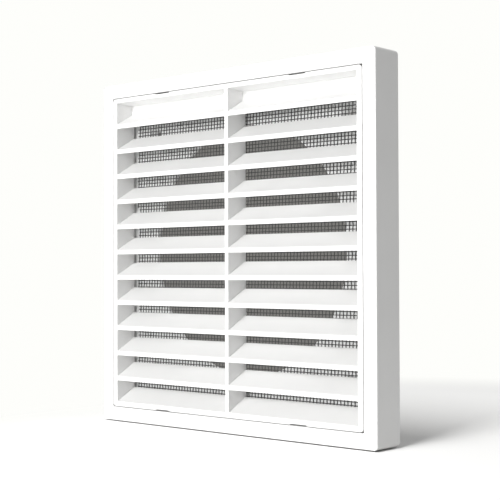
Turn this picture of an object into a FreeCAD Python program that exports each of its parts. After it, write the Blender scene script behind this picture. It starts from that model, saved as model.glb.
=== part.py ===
import FreeCAD, Part
import os

V = FreeCAD.Vector
os.makedirs("parts", exist_ok=True)

# ---------------------------------------------------------------- sizes, mm
# The vent stands on its bottom edge. X to the right, Y to the back, Z up.
# Origin: middle of the bottom edge, at half the depth. The front is at -Y.
SIZE = 200.0          # outer height and width
DEPTH = 21.0          # outer depth of the frame
MID = SIZE / 2.0      # height of the centre
YF = -DEPTH / 2.0     # front plane
YB = DEPTH / 2.0      # back plane, which sits on the wall

# outer frame
FRAME_R = 2.2         # outer corners, seen from the front
FRAME_BACK_R = 1.9    # round on the outer edges at the back
FRAME_WALL = 2.8      # outer rim wall
FRAME_INNER = 2.0     # inner rim wall, round the pocket
FRAME_FACE = 2.2      # thickness of the front border
FRAME_OPEN = 91.95    # half of the square pocket for the grille
FRAME_OPEN_R = 0.9    # corners of that pocket
PLATE_Y0 = 16.4       # front of the back plate, from the front plane
PLATE_T = 2.0
DUCT_R = 70.0         # round duct hole
LIP_R = 72.4          # lip round the duct hole, set back from its edge
LIP_T = 2.0
SCREW_X = 72.0        # screw holes, from the centre
SCREW_Z = 70.0
SCREW_R = 2.75
SINK_R = 4.75         # countersink radius at the plate's front
BOSS_R = 6.5
RIB_T = 1.5
FRAME_EDGE = 0.5      # softened outer edges at the front
FRAME_SEAM = 0.3      # softened edge of the pocket

# louvre grille
GR_HALF = 91.55       # half of its outer square: 0.4 mm clear all round
GR_R = 2.0            # its outer corners
GR_FLANGE = 2.2       # thickness of its front border
GR_DEPTH = 14.1
OPEN_X = 88.3         # half width of the louvred opening
OPEN_TOP = 189.0      # at the front; the ceiling falls a little towards the back
OPEN_TOP_BACK = 188.4
OPEN_BOT = 11.6
SKIRT_T = 2.0         # side walls behind the border
SKIRT_TOP = 190.6
SKIRT_BOT = 9.65
MULLION = 2.5         # upright divider
MULLION_Y1 = 14.8     # it reaches a little further back than the blades
N_BLADE = 11
PITCH = 15.0
BLADE_Z1 = 173.45     # bottom front edge of the top blade
BLADE_H = 2.8         # height of a blade's front face
BLADE_RISE = 7.9      # rise of the blade's top over the depth
BLADE_TR = 2.3        # upright thickness at the back edge
BLADE_BACK_R = 0.4
TOP_WALL_Y = 12.4     # closed back of the top cell
TOP_WALL_T = 1.7
SLOT_X = 50.0         # pry slots in the top and bottom edges
SLOT_W = 11.2
SLOT_H = 0.5
PAD_W = 12.0          # guide pads that centre the grille in the frame
PAD_CLEAR = 0.1
GR_EDGE = 0.3

# fly screen
SCREEN_HALF = 87.2
SCREEN_Y0 = 15.6      # it lies against the plate
SCREEN_T = 0.8        # full thickness of the weave


def box(x0, x1, y0, y1, z0, z1):
    """A block; y is counted from the front plane."""
    return Part.makeBox(x1 - x0, y1 - y0, z1 - z0, V(x0, YF + y0, z0))


def rod(r, x, y0, y1, z):
    return Part.makeCylinder(r, y1 - y0, V(x, YF + y0, z), V(0, 1, 0))


def cone(r0, r1, x, y0, y1, z):
    return Part.makeCone(r0, r1, y1 - y0, V(x, YF + y0, z), V(0, 1, 0))


def rounded(half, y0, y1, r):
    """A square block round the centre line, its four long edges rounded."""
    b = box(-half, half, y0, y1, MID - half, MID + half)
    es = [e for e in b.Edges if abs(e.tangentAt(e.FirstParameter).y) > 0.99]
    return b.makeFillet(r, es)


def on_plane(edge, y, tol=1e-4):
    return all(abs(v.Point.y - (YF + y)) < tol for v in edge.Vertexes)


def soften(shape, radius, edges, name):
    """Round the edges, or bevel them where a round can't be made."""
    try:
        s = shape.makeFillet(radius, edges)
        if s.isValid() and len(s.Solids) == 1:
            return s
    except Exception as err:
        print(name, "round failed:", err)
    s = shape.makeChamfer(radius * 0.8, edges)
    print(name, "bevelled instead, valid:", s.isValid())
    return s


def save(shape, name):
    solids = shape.Solids
    print("%-14s solids %d valid %s volume %.2f cm3 faces %d box %s" % (
        name, len(solids), shape.isValid(), shape.Volume / 1000.0, len(shape.Faces),
        [round(v, 2) for v in (shape.BoundBox.XMin, shape.BoundBox.XMax, shape.BoundBox.YMin,
                               shape.BoundBox.YMax, shape.BoundBox.ZMin, shape.BoundBox.ZMax)]))
    assert shape.isValid()
    (solids[0] if len(solids) == 1 else shape).exportStep("parts/%s.step" % name)


# --------------------------------------------------------------- wall frame
def wall_frame():
    body = rounded(MID, 0.0, DEPTH, FRAME_R)
    # soften the outer edges: crisp at the front, fuller at the back
    body = soften(body, FRAME_EDGE, [e for e in body.Edges if on_plane(e, 0.0)], "frame front edge")
    body = soften(body, FRAME_BACK_R, [e for e in body.Edges if on_plane(e, DEPTH)], "frame back edge")

    # pocket for the grille, and the shallow recess behind the plate
    pocket = rounded(FRAME_OPEN, -1.0, PLATE_Y0, FRAME_OPEN_R)
    recess = rounded(FRAME_OPEN, PLATE_Y0 + PLATE_T, DEPTH + 1.0, FRAME_OPEN_R)
    body = body.cut(pocket).cut(recess)

    # channel between the two rim walls, open at the back
    ch_out = rounded(MID - FRAME_WALL, FRAME_FACE, DEPTH + 1.0, FRAME_R * 0.5)
    ch_in = rounded(FRAME_OPEN + FRAME_INNER, FRAME_FACE - 1.0, DEPTH + 2.0, FRAME_R * 0.5)
    channel = ch_out.cut(ch_in)
    body = body.cut(channel)

    # ribs across the channel, a little short of the back plane
    ribs = []
    a, b = FRAME_OPEN + FRAME_INNER - 0.5, MID - FRAME_WALL + 0.5
    for t in (-69.0, -23.0, 23.0, 69.0):
        for s in (-1, 1):
            lo, hi = sorted((s * a, s * b))
            ribs.append(box(t - RIB_T / 2, t + RIB_T / 2, FRAME_FACE - 0.5, DEPTH - 1.0, MID + lo, MID + hi))
            ribs.append(box(lo, hi, FRAME_FACE - 0.5, DEPTH - 1.0, MID + t - RIB_T / 2, MID + t + RIB_T / 2))
    # duct lip, screw bosses and the ribs that tie them to it
    y0, y1 = PLATE_Y0 + PLATE_T - 0.5, DEPTH
    lip = rod(LIP_R + LIP_T, 0, y0, y1, MID)
    bosses, ties = [], []
    for sx in (-1, 1):
        for sz in (-1, 1):
            bosses.append(rod(BOSS_R, sx * SCREW_X, y0, y1, MID + sz * SCREW_Z))
            tie = box(-RIB_T / 2, RIB_T / 2, y0, y1 - 0.3, LIP_R + 0.5, 96.0)
            tie.rotate(V(0, 0, 0), V(0, 1, 0), {(1, 1): 45.8, (1, -1): 134.2, (-1, 1): -45.8, (-1, -1): -134.2}[(sx, sz)])
            tie.translate(V(0, 0, MID))
            ties.append(tie)
    # ribs from the lip to the middle of each side
    for ang in (0, 90, 180, 270):
        r = box(-RIB_T / 2, RIB_T / 2, y0, y1 - 0.3, LIP_R + 0.5, FRAME_OPEN + 0.5)
        r.rotate(V(0, 0, 0), V(0, 1, 0), ang)
        r.translate(V(0, 0, MID))
        ties.append(r)
    body = body.fuse([lip] + bosses + ties + ribs)

    # duct hole and countersunk screw holes
    body = body.cut(rod(DUCT_R, 0, PLATE_Y0 - 2, DEPTH + 1, MID))
    body = body.cut(rod(LIP_R, 0, PLATE_Y0 + PLATE_T, DEPTH + 1, MID))
    holes = []
    for sx in (-1, 1):
        for sz in (-1, 1):
            x, z = sx * SCREW_X, MID + sz * SCREW_Z
            holes.append(rod(SCREW_R, x, PLATE_Y0 - 2, DEPTH + 1, z))
            holes.append(cone(SINK_R, SCREW_R, x, PLATE_Y0, PLATE_Y0 + (SINK_R - SCREW_R), z))
    for h in holes:
        body = body.cut(h)
    body = body.removeSplitter()

    # soften the front edge of the pocket
    def seam(e):
        return on_plane(e, 0.0) and all(max(abs(v.Point.x), abs(v.Point.z - MID)) < FRAME_OPEN + 0.01 for v in e.Vertexes)
    body = soften(body, FRAME_SEAM, [e for e in body.Edges if seam(e)], "frame seam edge")
    return body


# ------------------------------------------------------------ louvre grille
def blade(zb, x0, x1):
    """One sloping blade: an upright front face, then up to the back at about 29 degrees."""
    pts = [(0.0, zb), (0.0, zb + BLADE_H), (GR_DEPTH, zb + BLADE_H + BLADE_RISE),
           (GR_DEPTH, zb + BLADE_H + BLADE_RISE - BLADE_TR)]
    w = Part.makePolygon([V(x0, YF + y, z) for y, z in pts] + [V(x0, YF + pts[0][0], pts[0][1])])
    s = Part.Face(w).extrude(V(x1 - x0, 0, 0))
    top = [e for e in s.Edges if abs(e.tangentAt(e.FirstParameter).x) > 0.99
           and all(abs(v.Point.y - (YF + GR_DEPTH)) < 1e-6 and abs(v.Point.z - (zb + BLADE_H + BLADE_RISE)) < 1e-6 for v in e.Vertexes)]
    return s.makeFillet(BLADE_BACK_R, top)


def opening(y0, y1):
    """The clear opening of the grille; its ceiling falls a little towards the back."""
    fall = (OPEN_TOP - OPEN_TOP_BACK) / TOP_WALL_Y
    pts = [(y0, OPEN_BOT), (y1, OPEN_BOT), (y1, OPEN_TOP - fall * y1), (y0, OPEN_TOP - fall * y0)]
    w = Part.makePolygon([V(-OPEN_X, YF + y, z) for y, z in pts + pts[:1]])
    return Part.Face(w).extrude(V(2 * OPEN_X, 0, 0))


def louvre_grille():
    # front border
    flange = rounded(GR_HALF, 0.0, GR_FLANGE, GR_R)
    flange = flange.cut(opening(-1.0, GR_FLANGE + 1.0))
    # walls behind it
    xs = OPEN_X + SKIRT_T
    skirt = box(-xs, xs, 0.0, GR_DEPTH, SKIRT_BOT, SKIRT_TOP)
    es = [e for e in skirt.Edges if abs(e.tangentAt(e.FirstParameter).y) > 0.99]
    skirt = skirt.makeFillet(1.0, es)
    skirt = skirt.cut(opening(-1.0, GR_DEPTH + 1.0))
    parts = [skirt]
    # blades across the whole width, and the sill, which slopes like a blade
    xb = OPEN_X + 0.8
    for k in range(N_BLADE):
        parts.append(blade(BLADE_Z1 - k * PITCH, -xb, xb))
    zs = BLADE_Z1 - N_BLADE * PITCH
    sill = blade(zs, -xb, xb)
    parts.append(sill.cut(box(-100, 100, -1, GR_FLANGE, 0, OPEN_BOT)))
    # upright divider
    parts.append(box(-MULLION / 2, MULLION / 2, 0.0, MULLION_Y1, OPEN_BOT - 1.5, OPEN_TOP + 0.5))
    # closed back of the top cell, from its ceiling down into the top blade
    parts.append(box(-xb, xb, TOP_WALL_Y, TOP_WALL_Y + TOP_WALL_T,
                     BLADE_Z1 + BLADE_H + TOP_WALL_Y * BLADE_RISE / GR_DEPTH - 1.0, OPEN_TOP + 0.5))
    # pips behind the divider that keep the screen against the plate
    for z in (30.0, 65.0, 100.0, 135.0, 165.0):
        parts.append(rod(1.1, 0, MULLION_Y1 - 0.5, SCREEN_Y0 - 0.1, z))
    # guide pads on the walls
    for t in (-72.0, 0.0, 72.0):
        for s in (-1, 1):
            lo, hi = sorted((s * (xs - 0.3), s * (FRAME_OPEN - PAD_CLEAR)))
            parts.append(box(lo, hi, 4.0, 12.5, MID + t - PAD_W / 2, MID + t + PAD_W / 2))
        parts.append(box(t - PAD_W / 2, t + PAD_W / 2, 4.0, 12.5, SKIRT_TOP - 0.3, MID + FRAME_OPEN - PAD_CLEAR))
        parts.append(box(t - PAD_W / 2, t + PAD_W / 2, 4.0, 12.5, MID - FRAME_OPEN + PAD_CLEAR, SKIRT_BOT + 0.3))
    g = flange.fuse(parts).removeSplitter()
    # pry slots in the top and bottom edges of the border
    for s in (-1, 1):
        for x in (-SLOT_X, SLOT_X):
            lo, hi = sorted((s * (GR_HALF - SLOT_H), s * (GR_HALF + 1)))
            g = g.cut(box(x - SLOT_W / 2, x + SLOT_W / 2, -1, GR_FLANGE + 0.4, MID + lo, MID + hi))
    # soften every edge of the front plane
    g = soften(g, GR_EDGE, [e for e in g.Edges if on_plane(e, 0.0)], "grille front edge")
    return g


# --------------------------------------------------------------- fly screen
def fly_screen():
    """The cut sheet of woven mesh, as a plain sheet of its full thickness."""
    return box(-SCREEN_HALF, SCREEN_HALF, SCREEN_Y0, SCREEN_Y0 + SCREEN_T, MID - SCREEN_HALF, MID + SCREEN_HALF)


save(wall_frame(), "wall_frame")
save(louvre_grille(), "louvre_grille")
save(fly_screen(), "fly_screen")
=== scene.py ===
import math
import random

import bpy
from mathutils import Matrix, Vector


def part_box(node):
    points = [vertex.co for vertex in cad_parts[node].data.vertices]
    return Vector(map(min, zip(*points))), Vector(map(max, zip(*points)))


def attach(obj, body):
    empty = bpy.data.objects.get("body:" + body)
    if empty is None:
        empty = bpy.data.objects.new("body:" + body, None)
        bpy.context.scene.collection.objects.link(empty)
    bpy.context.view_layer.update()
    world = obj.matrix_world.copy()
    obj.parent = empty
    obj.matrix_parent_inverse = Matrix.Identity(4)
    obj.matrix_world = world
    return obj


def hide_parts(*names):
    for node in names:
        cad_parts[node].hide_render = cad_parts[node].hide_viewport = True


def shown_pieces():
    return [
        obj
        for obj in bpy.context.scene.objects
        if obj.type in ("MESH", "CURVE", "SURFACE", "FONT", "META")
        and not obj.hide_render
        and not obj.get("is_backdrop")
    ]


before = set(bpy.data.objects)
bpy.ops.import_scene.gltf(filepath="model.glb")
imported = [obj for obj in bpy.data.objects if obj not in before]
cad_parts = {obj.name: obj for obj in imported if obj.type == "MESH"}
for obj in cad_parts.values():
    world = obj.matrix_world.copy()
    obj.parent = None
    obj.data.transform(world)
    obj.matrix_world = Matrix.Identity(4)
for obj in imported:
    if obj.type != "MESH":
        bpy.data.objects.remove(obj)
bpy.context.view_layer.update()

rng = random.Random(41)


# ------------------------------------------------------------------ node help
class Tree:
    """Short hand for building a node tree."""

    def __init__(self, tree):
        self.t = tree
        self.t.nodes.clear()

    def new(self, kind, **props):
        n = self.t.nodes.new(kind)
        for k, v in props.items():
            setattr(n, k, v)
        return n

    def link(self, a, b):
        self.t.links.new(a, b)

    def noise(self, vec, scale, detail=2.0, rough=0.5):
        n = self.new("ShaderNodeTexNoise")
        n.inputs["Scale"].default_value = scale
        n.inputs["Detail"].default_value = detail
        n.inputs["Roughness"].default_value = rough
        self.link(vec, n.inputs["Vector"])
        return n.outputs["Fac"]

    def remap(self, value, a, b, c, d, smooth=False):
        n = self.new("ShaderNodeMapRange")
        if smooth:
            n.interpolation_type = "SMOOTHSTEP"
        for name, v in (("From Min", a), ("From Max", b), ("To Min", c), ("To Max", d)):
            n.inputs[name].default_value = v
        self.link(value, n.inputs["Value"])
        return n.outputs["Result"]

    def math(self, op, a, b=None):
        n = self.new("ShaderNodeMath", operation=op)
        for i, v in enumerate((a, b)):
            if v is None:
                continue
            if isinstance(v, (int, float)):
                n.inputs[i].default_value = v
            else:
                self.link(v, n.inputs[i])
        return n.outputs[0]

    def mix(self, fac, c0, c1):
        n = self.new("ShaderNodeMix", data_type="RGBA")
        for name, v in (("Factor", fac), ("A", c0), ("B", c1)):
            sock = [s for s in n.inputs if s.name == name and (s.type == "RGBA" or name == "Factor" and s.type == "VALUE")][0]
            if isinstance(v, (int, float)):
                sock.default_value = v
            elif isinstance(v, (tuple, list)):
                sock.default_value = (*v, 1.0)
            else:
                self.link(v, sock)
        return [s for s in n.outputs if s.type == "RGBA"][0]

    def bump(self, height, distance, strength=1.0, normal=None):
        n = self.new("ShaderNodeBump")
        n.inputs["Strength"].default_value = strength
        n.inputs["Distance"].default_value = distance
        self.link(height, n.inputs["Height"])
        if normal is not None:
            self.link(normal, n.inputs["Normal"])
        return n.outputs["Normal"]


def new_material(name):
    m = bpy.data.materials.new(name)
    m.use_nodes = True
    return m, Tree(m.node_tree)


# ------------------------------------------------------------------ materials
def moulded_plastic(name, light, dark, rough, cloud, grain):
    """White satin moulded plastic: fine tool texture, faint flow clouds, slight waviness of thin walls."""
    m, t = new_material(name)
    out = t.new("ShaderNodeOutputMaterial")
    bsdf = t.new("ShaderNodeBsdfPrincipled")
    t.link(bsdf.outputs[0], out.inputs["Surface"])
    bsdf.inputs["IOR"].default_value = 1.49
    pos = t.new("ShaderNodeTexCoord").outputs["Object"]
    # colour: two near whites in slow clouds, with finer specks of pigment
    clouds = t.noise(pos, cloud, 3.0, 0.55)
    specks = t.noise(pos, 2600.0, 2.0, 0.6)
    tint = t.math("ADD", t.remap(clouds, 0.3, 0.7, 0.0, 0.8), t.remap(specks, 0.35, 0.65, 0.0, 0.2))
    t.link(t.mix(tint, dark, light), bsdf.inputs["Base Color"])
    # gloss: a satin tool finish that is a little uneven
    patches = t.noise(pos, 90.0, 3.0, 0.6)
    fine = t.noise(pos, grain, 1.0, 0.5)
    r = t.math("ADD", t.remap(patches, 0.3, 0.7, rough - 0.04, rough + 0.04), t.remap(fine, 0.3, 0.7, -0.03, 0.03))
    t.link(r, bsdf.inputs["Roughness"])
    # relief: wavy thin walls, then the fine tool texture
    wave = t.bump(t.noise(pos, 38.0, 1.0, 0.4), 0.00006, 1.0)
    skin = t.bump(fine, 0.000012, 0.8, wave)
    t.link(skin, bsdf.inputs["Normal"])
    return m


def coated_strand(name, along):
    """Dark vinyl-coated glass yarn: ridged along its length, slightly uneven in tone."""
    m, t = new_material(name)
    out = t.new("ShaderNodeOutputMaterial")
    bsdf = t.new("ShaderNodeBsdfPrincipled")
    t.link(bsdf.outputs[0], out.inputs["Surface"])
    bsdf.inputs["IOR"].default_value = 1.5
    pos = t.new("ShaderNodeTexCoord").outputs["Object"]
    stretch = t.new("ShaderNodeMapping")
    stretch.inputs["Scale"].default_value = (1.0, 1.0, 0.12) if along == "z" else (0.12, 1.0, 1.0)
    t.link(pos, stretch.inputs["Vector"])
    fibres = t.noise(stretch.outputs["Vector"], 9000.0, 2.0, 0.6)
    tone = t.noise(pos, 160.0, 2.0, 0.5)
    mixed = t.math("ADD", t.math("MULTIPLY", fibres, 0.5), t.math("MULTIPLY", tone, 0.5))
    t.link(t.mix(t.remap(mixed, 0.35, 0.65, 0.0, 1.0), (0.040, 0.040, 0.041), (0.072, 0.071, 0.070)), bsdf.inputs["Base Color"])
    t.link(t.remap(fibres, 0.3, 0.7, 0.45, 0.62), bsdf.inputs["Roughness"])
    t.link(t.bump(fibres, 0.00003, 1.0), bsdf.inputs["Normal"])
    return m


def dress(node, material):
    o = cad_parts[node]
    for s in o.material_slots:
        s.material = material
    if not o.material_slots:
        o.data.materials.append(material)


dress("wall_frame", moulded_plastic("frame_white", (0.86, 0.86, 0.855), (0.83, 0.83, 0.825), 0.42, 22.0, 3600.0))
dress("louvre_grille", moulded_plastic("grille_white", (0.87, 0.87, 0.865), (0.84, 0.84, 0.835), 0.40, 27.0, 4000.0))


# ----------------------------------------------------------------- fly screen
def strands(name, lines, wide, thick, sides=6):
    """One mesh of closed flat-oval tubes. Each line is (points, across): across is the in-plane side direction."""
    verts, faces = [], []
    ring = [(math.cos(2 * math.pi * (k + 0.5) / sides), math.sin(2 * math.pi * (k + 0.5) / sides)) for k in range(sides)]
    for pts, across in lines:
        base = len(verts)
        for p in pts:
            for cx, cy in ring:
                verts.append((p[0] + across[0] * cx * wide / 2, p[1] + cy * thick / 2, p[2] + across[2] * cx * wide / 2))
        n = len(pts)
        for i in range(n - 1):
            for k in range(sides):
                a, b = base + i * sides + k, base + i * sides + (k + 1) % sides
                faces.append((a, b, b + sides, a + sides))
        faces.append(tuple(base + k for k in reversed(range(sides))))
        faces.append(tuple(base + (n - 1) * sides + k for k in range(sides)))
    me = bpy.data.meshes.new(name)
    me.from_pydata(verts, [], faces)
    me.update()
    me.shade_smooth()
    o = bpy.data.objects.new(name, me)
    bpy.context.scene.collection.objects.link(o)
    return o


def weave():
    """Plain-woven insect screen, cut square a little off the thread: the upright strands are 2.27 mm apart and
    lean 2.3 degrees to the right, the level ones are 1.94 mm apart."""
    lo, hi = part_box("fly_screen")
    y = (lo[1] + hi[1]) / 2
    wide, thick, rise = 0.00050, 0.00034, 0.00017
    px, pz, lean = 0.002273, 0.00194, 0.0403
    edge, inset = 0.00012, 0.00042
    x_first = lo[0] + (-0.06457 + 0.0872) % px
    z_first = lo[2] + (0.1005 - 0.0128) % pz

    def drift(seed, amount):
        r = random.Random(seed)
        a, b, f, g = r.uniform(0, 6.28), r.uniform(0, 6.28), r.uniform(18, 34), r.uniform(50, 80)
        o = r.uniform(-1, 1) * amount * 0.5
        return lambda s: o + amount * (0.7 * math.sin(a + f * s) + 0.3 * math.sin(b + g * s))

    def keep(v, k):
        return lo[k] + inset < v < hi[k] - inset

    def inside(v, k, half):
        return min(max(v, lo[k] + half + edge), hi[k] - half - edge)

    zs = [z for z in (z_first + j * pz for j in range(120)) if keep(z, 2)]
    count = range(-6, 90)
    dx = {i: drift(1100 + i, 0.00005) for i in count}
    dz = [drift(3000 + j, 0.00005) for j in range(len(zs))]

    def across(i, z):
        return x_first + i * px + lean * (z - 0.171) + dx[i](z)

    crossings = {(i, j): across(i, z) for i in count for j, z in enumerate(zs) if keep(across(i, z), 0)}
    up, level = [], []
    for i in count:
        js = [j for j in range(len(zs)) if (i, j) in crossings]
        if len(js) < 2:
            continue
        z0 = inside(zs[js[0]] - rng.uniform(0.0004, 0.0016), 2, 0.0)
        z1 = inside(zs[js[-1]] + rng.uniform(0.0004, 0.0016), 2, 0.0)
        pts = [(inside(across(i, z0), 0, wide / 2), y, z0)]
        for j in js:
            x, s = crossings[i, j], 1 if (i + j) % 2 else -1
            pts.append((x, y + s * rise, zs[j] + dz[j](x)))
            if j != js[-1]:
                m = zs[j] + pz / 2
                pts.append((across(i, m), y, m))
        pts.append((inside(across(i, z1), 0, wide / 2), y, z1))
        up.append((pts, (1, 0, 0)))
    for j, z in enumerate(zs):
        line = [i for i in count if (i, j) in crossings]
        first, last = crossings[line[0], j], crossings[line[-1], j]
        x0 = inside(first - rng.uniform(0.0004, 0.0016), 0, 0.0)
        x1 = inside(last + rng.uniform(0.0004, 0.0016), 0, 0.0)
        pts = [(x0, y, z + dz[j](x0))]
        for i in line:
            x, s = crossings[i, j], -1 if (i + j) % 2 else 1
            pts.append((x, y + s * rise, z + dz[j](x)))
            if i != line[-1]:
                m = (x + crossings[i + 1, j]) / 2
                pts.append((m, y, z + dz[j](m)))
        pts.append((x1, y, z + dz[j](x1)))
        level.append((pts, (0, 0, -1)))
    for name, lines, along in (("screen_upright", up, "z"), ("screen_level", level, "x")):
        o = strands(name, lines, wide, thick)
        o.data.materials.append(coated_strand(name + "_coat", along))
        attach(o, "frame")
        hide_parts("fly_screen")


weave()


# ---------------------------------------------------------------------- stage
def floor():
    """A plain pale tabletop; towards its rim it fades into the white surround.
    It lies 0.6 mm low: a moulded edge touches a table at a few high spots only, with a dark line between."""
    n, radius, z = 96, 0.62, -0.0006
    centre = Vector((0.158, -0.180))
    verts = [(centre.x, centre.y, z)]
    faces = []
    rings = (0.25, 0.5, 0.75, 1.0)
    for q in rings:
        verts += [(centre.x + radius * q * math.cos(2 * math.pi * k / n), centre.y + radius * q * math.sin(2 * math.pi * k / n), z) for k in range(n)]
    for k in range(n):
        faces.append((0, 1 + k, 1 + (k + 1) % n))
        for r in range(len(rings) - 1):
            a, b = 1 + r * n + k, 1 + r * n + (k + 1) % n
            faces.append((a, a + n, b + n, b))
    me = bpy.data.meshes.new("floor")
    me.from_pydata(verts, [], faces)
    me.update()
    o = bpy.data.objects.new("floor", me)
    bpy.context.scene.collection.objects.link(o)
    m, t = new_material("floor_paper")
    out = t.new("ShaderNodeOutputMaterial")
    bsdf = t.new("ShaderNodeBsdfPrincipled")
    bsdf.inputs["Roughness"].default_value = 0.9
    bsdf.inputs["Specular IOR Level"].default_value = 0.1
    pos = t.new("ShaderNodeTexCoord").outputs["Object"]
    paper = t.noise(pos, 900.0, 3.0, 0.6)
    # it bounces less light than it shows, as a table far smaller than this disc would
    path = t.new("ShaderNodeLightPath")
    shown = t.mix(paper, (0.90, 0.90, 0.893), (0.92, 0.92, 0.913))
    t.link(t.mix(path.outputs["Is Camera Ray"], (0.63, 0.63, 0.625), shown), bsdf.inputs["Base Color"])
    glow = t.new("ShaderNodeEmission")
    glow.inputs["Color"].default_value = (*WHITE, 1.0)
    glow.inputs["Strength"].default_value = 1.0
    mix = t.new("ShaderNodeMixShader")
    shift = t.new("ShaderNodeVectorMath", operation="DISTANCE")
    t.link(pos, shift.inputs[0])
    shift.inputs[1].default_value = (centre.x, centre.y, 0.0)
    rim = t.remap(shift.outputs["Value"], radius - 0.14, radius - 0.01, 0.0, 1.0, smooth=True)
    xyz = t.new("ShaderNodeSeparateXYZ")
    t.link(pos, xyz.inputs[0])
    left = t.remap(t.math("MULTIPLY", xyz.outputs["X"], -1.0), 0.10, 0.16, 0.0, 1.0, smooth=True)
    t.link(t.math("MAXIMUM", rim, left), mix.inputs["Fac"])
    t.link(bsdf.outputs[0], mix.inputs[1])
    t.link(glow.outputs[0], mix.inputs[2])
    t.link(mix.outputs[0], out.inputs["Surface"])
    me.materials.append(m)
    o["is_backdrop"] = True
    return o


WHITE = (0.990, 0.992, 0.965)
FILL = 0.37
KEY, LOW, HIGH, TOP = 20.5, 11.0, 12.5, 8.0
# painted shade: the grey of a dark patch painted into the camera's view of the surround, standing in for shade
# behind the duct hole
DUCT_SHADE_PAINT = (0.200, 0.197, 0.186)


def surround():
    """White all round, with one soft grey patch of painted shade far behind the vent, seen by camera rays only,
    which shows only through its duct hole.
    """
    w = bpy.data.worlds.new("surround")
    bpy.context.scene.world = w
    w.use_nodes = True
    t = Tree(w.node_tree)
    out = t.new("ShaderNodeOutputWorld")
    light = t.new("ShaderNodeBackground")
    light.inputs["Color"].default_value = (1.0, 1.0, 0.995, 1.0)
    light.inputs["Strength"].default_value = FILL
    seen = t.new("ShaderNodeBackground")
    d = t.new("ShaderNodeTexCoord").outputs["Generated"]
    # offsets of the direction from the middle of the painted shade patch, in sines of the angles
    a, e = math.radians(41.1), math.radians(1.1)
    fw = (-math.sin(a) * math.cos(e), math.cos(a) * math.cos(e), math.sin(e))
    side = (math.cos(a), math.sin(a), 0.0)
    up = tuple(Vector(side).cross(Vector(fw)))

    def dot(v):
        n = t.new("ShaderNodeVectorMath", operation="DOT_PRODUCT")
        t.link(d, n.inputs[0])
        n.inputs[1].default_value = v
        return n.outputs["Value"]

    half_w, half_h = math.sin(math.radians(6.4)), math.sin(math.radians(8.4))
    u = t.math("POWER", t.math("ABSOLUTE", t.math("DIVIDE", dot(side), half_w)), 4.0)
    v = t.math("POWER", t.math("ABSOLUTE", t.math("DIVIDE", dot(up), half_h)), 4.0)
    r = t.math("ADD", u, v)
    front = t.math("GREATER_THAN", dot(fw), 0.0)
    # painted shade: a soft dark patch in the camera's view of the surround, placed so that it shows only through the
    # duct hole
    painted_duct_shade = t.math("MULTIPLY", t.remap(r, 0.55, 1.0, 1.0, 0.0, smooth=True), front)
    t.link(t.mix(painted_duct_shade, WHITE, DUCT_SHADE_PAINT), seen.inputs["Color"])
    path = t.new("ShaderNodeLightPath")
    mix = t.new("ShaderNodeMixShader")
    t.link(path.outputs["Is Camera Ray"], mix.inputs["Fac"])
    t.link(light.outputs[0], mix.inputs[1])
    t.link(seen.outputs[0], mix.inputs[2])
    t.link(mix.outputs[0], out.inputs["Surface"])


def group(name, objects):
    c = bpy.data.collections.new(name)
    for o in objects:
        c.objects.link(o)
    return c


def soft_box(name, lo, hi, wide, watts, lit, aim=(0.0, 0.0, 0.09)):
    """A soft box whose long axis runs from lo to hi, turned to face the vent, for the objects in lit."""
    lo, hi = Vector(lo), Vector(hi)
    mid = (lo + hi) / 2
    long_axis = (hi - lo).normalized()
    to = (Vector(aim) - mid).normalized()
    z = -(to - long_axis * to.dot(long_axis)).normalized()
    x = long_axis.cross(z).normalized()
    data = bpy.data.lights.new(name, "AREA")
    data.shape = "RECTANGLE"
    data.size, data.size_y = wide, (hi - lo).length
    data.energy = watts
    data.color = (1.0, 0.998, 0.994)
    o = bpy.data.objects.new(name, data)
    m = Matrix((x, long_axis, z)).transposed().to_4x4()
    m.translation = mid
    o.matrix_world = m
    o.visible_camera = False
    bpy.context.scene.collection.objects.link(o)
    o.light_linking.receiver_collection = lit
    return o


def camera():
    az, pitch, roll = (math.radians(v) for v in (41.3213, 0.9367, -0.2001))
    fw = Vector((-math.sin(az) * math.cos(pitch), math.cos(az) * math.cos(pitch), math.sin(pitch)))
    right = Vector((math.cos(az), math.sin(az), 0.0))
    up = right.cross(fw)
    right, up = right * math.cos(roll) + up * math.sin(roll), up * math.cos(roll) - right * math.sin(roll)
    data = bpy.data.cameras.new("camera")
    data.sensor_width = 36.0
    data.lens = 85.283
    data.clip_start, data.clip_end = 0.02, 50.0
    o = bpy.data.objects.new("camera", data)
    m = Matrix((right, up, -fw)).transposed().to_4x4()
    m.translation = (0.437849, -0.488858, 0.089525)
    o.matrix_world = m
    bpy.context.scene.collection.objects.link(o)
    bpy.context.scene.camera = o


camera()
table = group("lit_table", [floor()])
vent = group("lit_vent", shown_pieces())
surround()
soft_box("key", (0.188, -1.123, 1.124), (0.040, -0.238, 1.582), 0.32, KEY, table)
soft_box("front_low", (-0.052, -1.496, 0.008), (-0.052, -1.477, 0.360), 0.80, LOW, vent)
soft_box("front_high", (-0.052, -1.477, 0.360), (-0.048, -1.359, 0.734), 0.80, HIGH, vent)
soft_box("top", (-0.25, 0.10, 1.30), (-0.25, 0.70, 1.20), 0.50, TOP, vent)
view = bpy.context.scene.view_settings
view.view_transform = "Standard"
view.look = "None"
view.exposure = 0.0
view.gamma = 1.0
